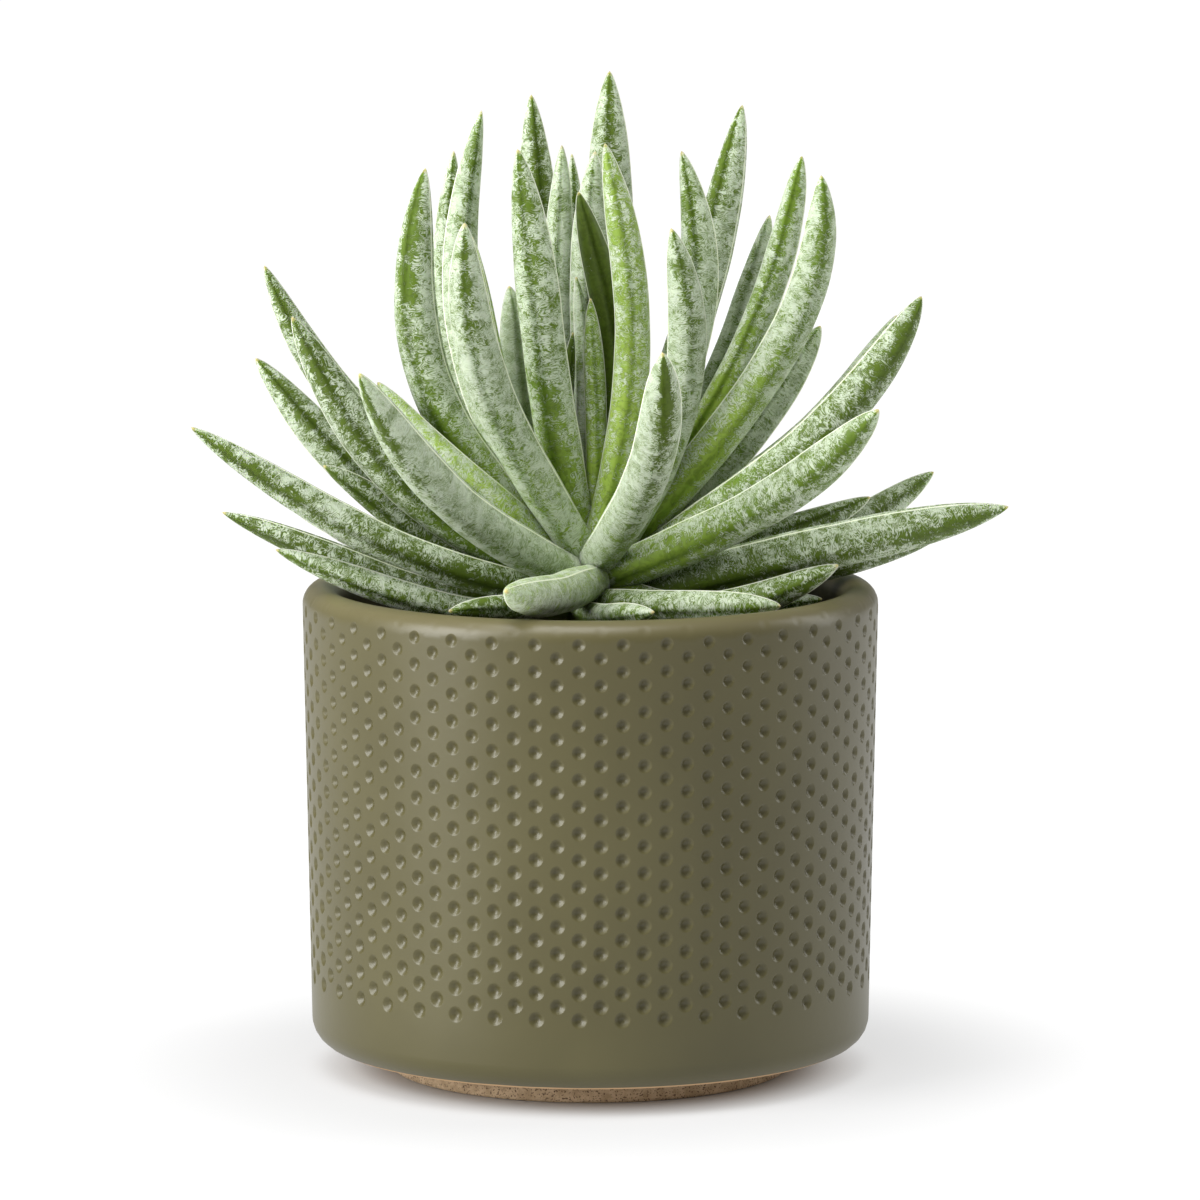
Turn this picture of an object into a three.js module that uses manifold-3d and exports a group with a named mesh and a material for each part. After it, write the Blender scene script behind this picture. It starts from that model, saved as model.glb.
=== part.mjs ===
// A potted finger-leaf succulent: a rosette of felted, finger-shaped leaves on a short thick stem,
// growing in a dimpled stoneware pot. Millimetres, +Z up, origin on the ground under the middle of
// the pot's foot. -Y is the front, and +X is on the right as seen from the front.

import * as THREE from 'three';
import { mergeVertices } from 'three/addons/utils/BufferGeometryUtils.js';
import Module from 'manifold-3d';

const wasm = await Module();
wasm.setup();

// Pot: outer radius under the lip and above the bottom edge, height, roundings, floor and foot. The
// turns are the angles of the facets round the bottom edge and over the lip.
const POT_RADIUS = 60;
const POT_BASE_RADIUS = 58.4;
const POT_HEIGHT = 102;
const LIP_ROUND = 4;
const FLOOR_TOP = 9;
const FLOOR_RADIUS = 48;
const EDGE_ROUND = 5.5;
const FOOT_RADIUS = 42;
const FOOT_HEIGHT = 5.3;
const FOOT_BEVEL = 0.8;
const EDGE_TURNS = [0, 30, 60, 90];
const LIP_TURNS = [25, 60, 95, 135, 180];

// Dimples: columns round the pot, half spacings along a column, and depth. Every second column is
// set half a spacing lower.
const DIMPLE_COLUMNS = 84;
const DIMPLE_HALF_ROWS = 28;
const DIMPLE_TOP = 97.5;
const DIMPLE_BOTTOM = 20.5;
const DIMPLE_DEPTH = 0.7;

// Soil: level at the wall, mound round the stem, and the gap that fitted pieces keep.
const SOIL_TOP = 90;
const SOIL_MOUND = 2.5;
const SOIL_SIDES = 42;
const FIT_GAP = 0.3;

// Stem: a short post with a round growing point, standing in a plain hole in the soil.
const STEM_RADIUS = 9;
const STEM_BOTTOM = 72;
const STEM_TOP = 114.5;
const STEM_SHOULDER = STEM_TOP - STEM_RADIUS;
const STEM_SIDES = 24;
const STEM_TURNS = [25, 50, 72];

// Leaf: a finger that is narrow at its root, with a rounded back and a flatter inner face. Its middle
// line is a cubic curve, whose middle the two inner handles share by three quarters.
const LEAF_SIDES = 8;
const LEAF_STEPS = [0, 0.1, 0.24, 0.4, 0.56, 0.71, 0.84, 0.94];
const ROOT_DEPTH = 2.5;
const FULL_WIDTH_FROM = 0.22;
const TAPER_FROM = 0.5;
const TAPER_POWER = 2.5;
const CORNER_SHARE = 0.8;
const INNER_SHARE = 0.75;
const BACK_DEPTH = 0.5;
const FACE_DEPTH = 0.46;

// Settling: leaves that would touch are nudged apart until this gap is left between them. They are
// compared at places that lie closer together near the root.
const LEAF_GAP = 0.45;
const SETTLE_ROUNDS = 1000;
const SETTLE_PLACES = 29;
const SETTLE_CROWDING = 1.3;
const SETTLE_STEP = 0.5;
const HANDLE_EASE = [0.8, 1, 1, 0.25];

// One row for each leaf: tip x, y, z; middle x, y, z, halfway along; height of its root on the stem;
// full width; and the width at the root as a share of that.
const LEAVES = [
  [4, 25, 207, 3, 20, 161.5, 111, 10.3, 0.4],
  [-12.5, 32, 201.5, -9, 25, 156.5, 108, 9.1, 0.38],
  [-23, 35, 198, -26.5, 27, 149, 106.5, 8.1, 0.42],
  [-29, 40, 189, -27, 31, 143, 106, 8.1, 0.42],
  [-34, -4, 189, -33, -5, 146.5, 109, 9.8, 0.5],
  [-25.5, -30, 180, -22, -19, 143.5, 110, 9.6, 0.65],
  [-15, -5, 193, -8.5, -5, 152.5, 113, 9.6, 0.5],
  [-6, 24, 191.5, -5, 17, 153, 112, 6.6, 0.42],
  [1, 14, 191, -1, 11, 155, 113, 8.4, 0.42],
  [3, -9, 194.5, 8, -9, 157, 112, 7.4, 0.6],
  [-2.5, 3, 183.5, 2.5, 2.5, 152.5, 113.5, 7.2, 0.45],
  [0, -4, 162, 1.5, -2, 138.5, 113.5, 4.6, 0.45],
  [-3, 6, 165.5, -1, 5, 141, 113.5, 4.4, 0.45],
  [-3.5, 0, 154.5, -2, 1, 135, 113.5, 3.6, 0.45],
  [-17, 12, 163, -12.5, 8, 138.5, 110, 8, 0.42],
  [16.5, -20, 178, 19.5, -12, 145, 110.5, 8.5, 0.5],
  [19, 15, 191, 23.5, 9, 151, 110.5, 8.5, 0.45],
  [32, 30, 199.5, 22.5, 21, 157.5, 109.5, 9.2, 0.42],
  [38, 38, 175.5, 27.5, 30, 141, 104.5, 8, 0.42],
  [44, 8, 190.5, 34, 6, 159.5, 109.5, 6.7, 0.42],
  [47.5, -10, 188, 40.5, -8, 155, 109, 8.7, 0.5],
  [48, 8, 155, 34, 4, 135, 106, 7.4, 0.42],
  [68.5, -5, 162.5, 47.5, -9, 134.5, 104.5, 9.6, 0.5],
  [64.5, 25, 155.5, 44.5, 18, 128.5, 103.5, 7.5, 0.42],
  [58.5, -40, 143, 38, -26, 123.5, 108, 9.6, 0.5],
  [14.5, -58, 156.5, 12.5, -38, 132.5, 110.5, 9.4, 0.6],
  [73, 35, 121, 45.5, 22, 107, 100.5, 7.8, 0.45],
  [59, 20, 117.5, 34, 13, 106.5, 101.5, 7, 0.45],
  [86.5, -12, 119.5, 46, -13, 111, 103, 10.1, 0.55],
  [72.5, 12, 109.5, 38.5, 6, 102.5, 99, 7.6, 0.45],
  [51, -24, 109, 27, -17, 99.5, 102, 7.6, 0.5],
  [39, -36, 102, 20.5, -31, 101.5, 101, 7.2, 0.7],
  [13, -44, 102, 4.5, -28, 100, 100, 5.6, 0.5],
  [48.5, 4, 98, 31, 2, 97, 97, 5.2, 0.45],
  [-17, -63, 109, -8, -36, 104.5, 107, 9.2, 0.5],
  [-29, -32, 100.5, -15.5, -22, 100, 97, 5.2, 0.5],
  [-65, -15, 111, -35, -14, 102, 98.5, 6.8, 0.5],
  [-76.5, -5, 117.5, -40.5, -4, 105.5, 100, 7, 0.5],
  [-82, -20, 137, -45.5, -16, 116, 104, 7.6, 0.55],
  [-70, 10, 148, -43.5, 6, 122.5, 105, 8.7, 0.42],
  [-68.5, 20, 166.5, -45.5, 13, 128.5, 107, 7.9, 0.45],
  [-61.5, -12, 159, -39, -9, 125.5, 106, 9.2, 0.45],
  [-46.5, -50, 151.5, -29, -30, 124.5, 109, 9.6, 0.65],
  [-44, -8, 145, -28.5, -8, 125, 108.5, 7, 0.45],
  [-55.5, -3, 127, -31.5, -1, 115.5, 103, 7, 0.45],
  [-56.5, 9, 112.5, -31.5, 7, 106, 99, 6, 0.45],
  [-24.5, 0, 174.5, -19, -2, 143.5, 111, 6.4, 0.45],
  [-4, 45, 188, -2, 41, 146.5, 102, 5.6, 0.4],
  [42, 70, 122, 27, 46, 111, 98.5, 8.4, 0.42],
  [-7, 78, 118, -5, 50, 109, 97.5, 8.4, 0.42],
  [-50, 60, 120, -31, 40, 110, 99, 8.4, 0.42],
  [10, 72, 142, 8, 50, 119, 100.5, 8.4, 0.42],
  [-26, 68, 142, -18, 47, 119, 102, 8.4, 0.42],
  [56, 52, 136, 35, 34, 117, 102, 8.4, 0.42],
  [-64, 38, 113.5, -40, 24, 106.5, 98.5, 7, 0.42],
  [7, 62, 166, 6, 52, 134, 100.5, 7.6, 0.42],
];

// Finishes: colour, roughness and metalness.
const FINISHES = {
  glaze: [0x7b7355, 0.5, 0],
  soil: [0x2a2018, 0.95, 0],
  stem: [0x6f7f45, 0.8, 0],
  leaf: [0x93a683, 0.85, 0],
};

const rad = THREE.MathUtils.degToRad;

// A closed skin over a stack of rings with equal point counts. It closes to one point at each end,
// and flip(i, j) turns the diagonal of a face.
function skin(first, rings, last, flip = () => false) {
  const count = rings[0].length;
  const points = [first, ...rings.flat(), last];
  const index = [];
  const at = (i, j) => 1 + i * count + (j % count);
  for (let j = 0; j < count; j += 1) {
    index.push(0, at(0, j + 1), at(0, j));
    index.push(points.length - 1, at(rings.length - 1, j), at(rings.length - 1, j + 1));
  }
  for (let i = 0; i + 1 < rings.length; i += 1) {
    for (let j = 0; j < count; j += 1) {
      const [a, b, c, d] = [at(i, j), at(i, j + 1), at(i + 1, j + 1), at(i + 1, j)];
      if (flip(i, j)) index.push(a, b, d, b, c, d);
      else index.push(a, b, c, a, c, d);
    }
  }
  const geometry = new THREE.BufferGeometry();
  geometry.setAttribute('position', new THREE.Float32BufferAttribute(points.flatMap((p) => p.toArray()), 3));
  geometry.setIndex(index);
  return geometry;
}

function toSolid(geometry) {
  const bare = geometry.clone();
  bare.deleteAttribute('normal');
  bare.deleteAttribute('uv');
  const merged = mergeVertices(bare, 1e-5);
  return new wasm.Manifold(new wasm.Mesh({
    numProp: 3,
    vertProperties: new Float32Array(merged.attributes.position.array),
    triVerts: new Uint32Array(merged.index.array),
  }));
}

function toGeometry(solid) {
  const mesh = solid.getMesh();
  const geometry = new THREE.BufferGeometry();
  geometry.setAttribute('position', new THREE.Float32BufferAttribute(mesh.vertProperties, 3));
  geometry.setIndex(Array.from(mesh.triVerts));
  return geometry;
}

// A level ring round the Z axis.
function ring(radius, z, count, radiusAt = () => radius) {
  return Array.from({ length: count }, (_, j) => {
    const angle = (2 * Math.PI * j) / count;
    return new THREE.Vector3(radiusAt(j) * Math.cos(angle), radiusAt(j) * Math.sin(angle), z);
  });
}

// The pot is one piece: foot, rounded bottom edge, dimpled wall, round lip and plain inside.
function potGeometry() {
  const rings = [];
  const add = (radius, z, radiusAt) => rings.push(ring(radius, z, DIMPLE_COLUMNS, radiusAt));
  const wallFoot = FOOT_HEIGHT + EDGE_ROUND;
  const wallTop = POT_HEIGHT - LIP_ROUND;
  const lipMiddle = POT_RADIUS - LIP_ROUND;
  const wallRadius = (z) => THREE.MathUtils.mapLinear(z, wallFoot, wallTop, POT_BASE_RADIUS, POT_RADIUS);
  add(FOOT_RADIUS - FOOT_BEVEL, 0);
  add(FOOT_RADIUS, FOOT_BEVEL);
  add(FOOT_RADIUS, FOOT_HEIGHT);
  for (const turn of EDGE_TURNS) {
    add(
      POT_BASE_RADIUS - EDGE_ROUND * (1 - Math.sin(rad(turn))),
      FOOT_HEIGHT + EDGE_ROUND * (1 - Math.cos(rad(turn))),
    );
  }
  const firstDimple = rings.length;
  for (let row = 0; row <= DIMPLE_HALF_ROWS; row += 1) {
    const z = THREE.MathUtils.mapLinear(row, 0, DIMPLE_HALF_ROWS, DIMPLE_BOTTOM, DIMPLE_TOP);
    add(wallRadius(z), z, (j) => wallRadius(z) - ((row + j) % 2 === 0 ? DIMPLE_DEPTH : 0));
  }
  for (const turn of LIP_TURNS) {
    add(lipMiddle + LIP_ROUND * Math.cos(rad(turn)), wallTop + LIP_ROUND * Math.sin(rad(turn)));
  }
  add(FLOOR_RADIUS, FLOOR_TOP);
  const flip = (i, j) => (i - firstDimple + j + 2 * DIMPLE_COLUMNS) % 2 === 0;
  return skin(new THREE.Vector3(0, 0, 0), rings, new THREE.Vector3(0, 0, FLOOR_TOP), flip);
}

// Radius of the pot's inside at a height.
function insideRadius(z) {
  const mouthRadius = POT_RADIUS - 2 * LIP_ROUND;
  return THREE.MathUtils.mapLinear(z, FLOOR_TOP, POT_HEIGHT - LIP_ROUND, FLOOR_RADIUS, mouthRadius);
}

// The soil fills the pot, a little mounded, with a plain hole for the stem.
function soilGeometry() {
  const bottom = FLOOR_TOP + FIT_GAP;
  const hole = STEM_RADIUS + FIT_GAP;
  const rings = [ring(insideRadius(bottom) - FIT_GAP, bottom, SOIL_SIDES)];
  for (const share of [0, 0.5, 1]) {
    const radius = THREE.MathUtils.lerp(insideRadius(SOIL_TOP) - FIT_GAP, hole, share);
    rings.push(ring(radius, SOIL_TOP + SOIL_MOUND * share, SOIL_SIDES));
  }
  rings.push(ring(hole, STEM_BOTTOM - FIT_GAP, SOIL_SIDES));
  return skin(new THREE.Vector3(0, 0, bottom), rings, new THREE.Vector3(0, 0, STEM_BOTTOM - FIT_GAP));
}

// The stem's shape, or the same shape grown by a margin.
function stemGeometry(margin = 0) {
  const radius = STEM_RADIUS + margin;
  const rings = [ring(radius, STEM_BOTTOM - margin, STEM_SIDES), ring(radius, STEM_SHOULDER, STEM_SIDES)];
  for (const turn of STEM_TURNS) {
    rings.push(ring(radius * Math.cos(rad(turn)), STEM_SHOULDER + radius * Math.sin(rad(turn)), STEM_SIDES));
  }
  return skin(
    new THREE.Vector3(0, 0, STEM_BOTTOM - margin),
    rings,
    new THREE.Vector3(0, 0, STEM_SHOULDER + radius),
  );
}

// The point of the stem's surface that is nearest to a point.
function onStem(point) {
  const middle = new THREE.Vector3(0, 0, Math.min(point.z, STEM_SHOULDER));
  return point.clone().sub(middle).setLength(STEM_RADIUS).add(middle);
}

// The four handles of a leaf's middle line, a cubic curve from the stem through the leaf's middle to
// its tip. The root is on the side of the stem that faces the middle, and the two inner handles lie
// most of the way to the corner where the leaf's two straight ends would meet.
function leafHandles([x, y, z, middleX, middleY, middleZ, rootHeight, width, rootShare]) {
  const over = Math.max(0, rootHeight - STEM_SHOULDER);
  const reach = Math.sqrt(STEM_RADIUS ** 2 - over ** 2);
  const root = new THREE.Vector3(middleX, middleY, 0).setLength(reach).setZ(rootHeight);
  const tip = new THREE.Vector3(x, y, z);
  const ends = root.clone().add(tip).multiplyScalar(0.5);
  const middle = new THREE.Vector3(middleX, middleY, middleZ);
  const corner = ends.clone().lerp(middle, 1 / (INNER_SHARE * CORNER_SHARE));
  const lower = root.clone().lerp(corner, CORNER_SHARE);
  const upper = tip.clone().lerp(corner, CORNER_SHARE);
  return { handles: [root, lower, upper, tip], width, rootShare };
}

// Share of each handle at a place along the curve.
function shares(s) {
  const t = 1 - s;
  return [t * t * t, 3 * t * t * s, 3 * t * s * s, s * s * s];
}

function curvePoint(handles, s) {
  const point = new THREE.Vector3();
  shares(s).forEach((share, k) => point.addScaledVector(handles[k], share));
  return point;
}

// Width along the leaf as a share of its full width: a narrow root that swells smoothly, then a
// finger end that rounds off to a point.
function widthShare(s, rootShare) {
  const swell = rootShare + (1 - rootShare) * THREE.MathUtils.smoothstep(s, 0, FULL_WIDTH_FROM);
  const end = Math.max(0, (s - TAPER_FROM) / (1 - TAPER_FROM));
  return swell * Math.sqrt(Math.max(0, 1 - end ** TAPER_POWER));
}

// Nudges the handles until no two leaves, and no leaf and the pot's lip or the soil, are closer than
// the gap. In each round every pair of leaves is pushed apart at its tightest place, and each root
// slides back onto the stem.
function settle(leaves) {
  const last = SETTLE_PLACES - 1;
  const places = Array.from({ length: SETTLE_PLACES }, (_, k) => (k / last) ** SETTLE_CROWDING);
  const placeShares = places.map(shares);
  const radii = leaves.map(({ width, rootShare }) => (
    places.map((s) => 0.5 * width * widthShare(s, rootShare))
  ));
  const lipMiddle = POT_RADIUS - LIP_ROUND;
  for (let round = 0; round < SETTLE_ROUNDS; round += 1) {
    const lines = leaves.map((leaf) => places.map((s) => curvePoint(leaf.handles, s)));
    const boxes = lines.map((line, i) => (
      new THREE.Box3().setFromPoints(line).expandByScalar(0.5 * leaves[i].width)
    ));
    const pushes = leaves.map(() => [0, 1, 2, 3].map(() => ({ move: new THREE.Vector3(), weight: 0 })));
    const push = (i, a, offset) => {
      const total = placeShares[a].reduce((sum, share) => sum + share * share, 0);
      placeShares[a].forEach((share, k) => {
        pushes[i][k].move.addScaledVector(offset, (share * share) / total);
        pushes[i][k].weight += share;
      });
    };
    for (let i = 0; i < leaves.length; i += 1) {
      for (let j = i + 1; j < leaves.length; j += 1) {
        if (!boxes[i].intersectsBox(boxes[j])) continue;
        let worst = 0;
        let where = null;
        for (let a = 0; a < SETTLE_PLACES; a += 1) {
          for (let b = 0; b < SETTLE_PLACES; b += 1) {
            const need = radii[i][a] + radii[j][b] + LEAF_GAP;
            const gap = lines[i][a].distanceTo(lines[j][b]);
            if (need - gap > worst) {
              worst = need - gap;
              where = [a, b];
            }
          }
        }
        if (where) {
          const apart = lines[i][where[0]].clone().sub(lines[j][where[1]]).setLength(SETTLE_STEP * worst);
          push(i, where[0], apart);
          push(j, where[1], apart.clone().negate());
        }
      }
      lines[i].forEach((point, a) => {
        const room = radii[i][a] + LEAF_GAP;
        const lip = new THREE.Vector3(point.x, point.y, 0).setLength(lipMiddle).setZ(POT_HEIGHT - LIP_ROUND);
        const away = point.clone().sub(lip);
        const short = room + LIP_ROUND - away.length();
        if (short > 0) push(i, a, away.setLength(short));
        const low = SOIL_TOP + SOIL_MOUND + room - point.z;
        if (low > 0) push(i, a, new THREE.Vector3(0, 0, low));
      });
    }
    leaves.forEach((leaf, i) => {
      leaf.handles.forEach((handle, k) => {
        const { move, weight } = pushes[i][k];
        if (weight > 0) handle.addScaledVector(move, HANDLE_EASE[k] / Math.max(1, weight));
      });
      leaf.handles[0].copy(onStem(leaf.handles[0]));
    });
  }
}

// A leaf's solid: rounded sections square to the middle line, from inside the stem to the tip.
function leafGeometry({ handles, width, rootShare }) {
  const [root, , , tip] = handles;
  const across = new THREE.Vector3(root.y - tip.y, tip.x - root.x, 0).normalize();
  const curve = new THREE.CubicBezierCurve3(...handles);
  const section = (middle, tangent, size) => {
    const side = across.clone().addScaledVector(tangent, -across.dot(tangent)).normalize();
    const up = tangent.clone().cross(side);
    return Array.from({ length: LEAF_SIDES }, (_, k) => {
      const angle = (2 * Math.PI * (k + 0.5)) / LEAF_SIDES;
      const depth = Math.sin(angle) > 0 ? FACE_DEPTH : BACK_DEPTH;
      return middle.clone()
        .addScaledVector(side, 0.5 * size * Math.cos(angle))
        .addScaledVector(up, depth * size * Math.sin(angle));
    });
  };
  const rootTangent = curve.getTangent(0);
  const inside = root.clone().addScaledVector(rootTangent, -ROOT_DEPTH);
  const rings = [section(inside, rootTangent, width * rootShare)];
  for (const s of LEAF_STEPS) {
    rings.push(section(curvePoint(handles, s), curve.getTangent(s), width * widthShare(s, rootShare)));
  }
  return skin(inside, rings, tip);
}

function mesh(name, geometry, finish) {
  const [color, roughness, metalness] = FINISHES[finish];
  geometry.computeVertexNormals();
  const made = new THREE.Mesh(geometry, new THREE.MeshStandardMaterial({ color, roughness, metalness }));
  made.name = name;
  return made;
}

const leaves = LEAVES.map(leafHandles);
settle(leaves);

const group = new THREE.Group();
group.add(mesh('pot', potGeometry(), 'glaze'));
group.add(mesh('soil', soilGeometry(), 'soil'));
group.add(mesh('stem', stemGeometry(), 'stem'));

const stemRoom = toSolid(stemGeometry(FIT_GAP));
leaves.forEach((leaf, i) => {
  const cut = toSolid(leafGeometry(leaf)).subtract(stemRoom);
  group.add(mesh(`leaf_${String(i + 1).padStart(2, '0')}`, toGeometry(cut), 'leaf'));
});

export default group;
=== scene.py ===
"""A potted finger-leaf succulent: felted, finger-shaped leaves crowded on a short stem, growing in a
dimpled, olive-glazed stoneware pot with a bare foot. Metres, +Z up, the front faces -Y."""

import math

import bpy
import numpy as np
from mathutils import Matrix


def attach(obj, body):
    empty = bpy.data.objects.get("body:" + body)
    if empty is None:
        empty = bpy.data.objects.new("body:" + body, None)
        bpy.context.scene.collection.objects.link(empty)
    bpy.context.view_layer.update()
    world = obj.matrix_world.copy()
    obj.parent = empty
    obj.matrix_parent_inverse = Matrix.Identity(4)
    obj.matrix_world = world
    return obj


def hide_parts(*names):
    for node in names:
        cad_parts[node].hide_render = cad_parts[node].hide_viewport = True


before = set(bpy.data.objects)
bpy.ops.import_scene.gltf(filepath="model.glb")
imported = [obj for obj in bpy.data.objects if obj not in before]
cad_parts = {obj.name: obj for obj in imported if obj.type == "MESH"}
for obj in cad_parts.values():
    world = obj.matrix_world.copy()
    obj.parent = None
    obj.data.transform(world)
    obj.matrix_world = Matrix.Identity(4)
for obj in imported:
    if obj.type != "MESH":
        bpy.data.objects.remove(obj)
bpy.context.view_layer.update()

MM = 0.001

# Pot, in mm: wall, lip, bottom edge, foot and inside.
POT_RADIUS, POT_BASE_RADIUS, POT_HEIGHT, LIP_ROUND = 60.0, 58.4, 102.0, 4.0
FLOOR_TOP, FLOOR_RADIUS, EDGE_ROUND = 9.0, 48.0, 5.5
FOOT_RADIUS, FOOT_HEIGHT, FOOT_BEVEL = 42.0, 5.3, 0.8
# Dimples, in mm: every second column is shifted by half a spacing. Radius and depth are those of the lowest
# and the highest row, and the half row under the lip has a small share of its depth.
DIMPLE_COLUMNS, DIMPLE_HALF_ROWS, DIMPLE_TOP, DIMPLE_BOTTOM = 84, 28, 97.5, 20.5
DIMPLE_RADII, DIMPLE_DEPTHS, FAINT_SHARE = (1.62, 1.35), (1.1, 0.9), 0.08
# Steps across a dimple's square cell. Its rings of points, from the cell's middle at 0 to its rim at 1, are
# drawn to shares of the dimple's radius and sunk by shares of its depth.
DIMPLE_STEPS = 8
RING_PLACES = (0, 0.25, 0.5, 0.75, 1)
RING_RADII = (0, 0.52, 0.94, 1.1, 1.1)
RING_DEPTHS = (1, 0.72, 0.07, 0, 0)
# Heights in metres over which the glaze pales on the lip, and over which it ends above the foot, first in
# tan and then in bare clay.
PALE_LIP, TAN_END, CLAY_END = (0.0975, 0.1018), (0.0059, 0.0061), (0.0052, 0.00535)

# Soil and stem, in mm. The soil rises from the wall to the stem.
SOIL_TOP, SOIL_MOUND, SOIL_OUTER, SOIL_INNER = 90.0, 2.5, 51.3, 9.6
STEM_RADIUS, STEM_BOTTOM, STEM_TOP = 9.0, 72.0, 114.5
STEM_SHOULDER = STEM_TOP - STEM_RADIUS
# Heights in metres over which the stem's brown turns to green.
BROWN_END = (0.094, 0.101)

# Leaf line and settling, as the solids have them.
FULL_WIDTH_FROM, TAPER_FROM, TAPER_POWER, CORNER_SHARE, INNER_SHARE = 0.22, 0.5, 2.5, 0.8, 0.75
LEAF_GAP, SETTLE_ROUNDS, SETTLE_PLACES, SETTLE_CROWDING, SETTLE_STEP = 0.45, 1000, 29, 1.3, 0.5
HANDLE_EASE = np.array([0.8, 1.0, 1.0, 0.25])

# Fine leaf surface, in mm: turns of a quarter section in degrees; rings, and how they crowd toward the tip;
# places for measuring the middle line; and how deep the root goes into the stem.
LEAF_TURNS, LEAF_RINGS, RING_CROWDING = (0, 4, 12, 24, 38, 54, 72, 90), 52, 1.35
FINE_PLACES, ROOT_DEPTH = 241, 3.5
# The rounded back and the flatter face, the two powers of the finger end and the half width of its point.
BACK_DEPTH, FACE_DEPTH = 0.47, 0.42
FINE_TAPER, TIP_POWER, POINT_HALF = 3.2, 0.68, 0.3
# How far a leaf turns its edges toward the left and right, and with them its face to the back, or to the
# front where it looks there by more than a limit; and the thin ridge along each edge, with its largest
# share of the half width.
EDGE_TURN, FRONT_LIMIT, EDGE_RIDGE, RIDGE_SHARE = 2.6, -0.1, 0.2, 0.3
# Each leaf's own twist in radians, at its root and more toward its tip, and its two low waves of thickness,
# with their length over a radian and their height as a share.
TWIST, MORE_TWIST, LUMPS = 0.2, 0.25, ((5.3, 0.012), (2.9, 0.008))

# Where a leaf's looks change, as shares of its length: the base ends, the part below the tip begins and the
# pale edge line, a margin brightened into a painted highlight, begins. The tan point ends at a distance
# from the tip in mm, and leaves whose roots lie over these heights in mm have a yellower base.
BASE_END, TIP_START, EDGE_START = (0.05, 0.6), (0.55, 0.9), (0.0, 0.15)
POINT_END, YELLOW_ROOTS = (0.1, 0.8), (100, 108)
# Felt that a bare base loses: all over, more down its middle, and on the face. Felt that the stripe loses:
# all along, and more below the tip.
BARE_ALL, BARE_MIDDLE, BARE_FACE = 0.2, 0.75, 0.2
STRIPE_ALL, STRIPE_TIP = 0.35, 0.7
# Where the face begins, as heights of the section. How far a leaf's stripe may lie off its middle and how
# wide it may be, as shares of the half width. How far apart the leaves may read the felt's pattern, in mm.
FACE_START, STRIPE_SHIFT, STRIPE_WIDTHS, PATTERN_REACH = (0.0, 0.8), 0.2, (0.34, 0.5), 400
FIRST_SEED = 100
# Flesh under the felt, as screen colours: deep, mid and yellow green.
FLESH = ((70, 84, 26), (100, 126, 40), (152, 178, 76))
# Radians of the felt's waves for a whole step of its hills.
CURLS = 36.0

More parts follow.
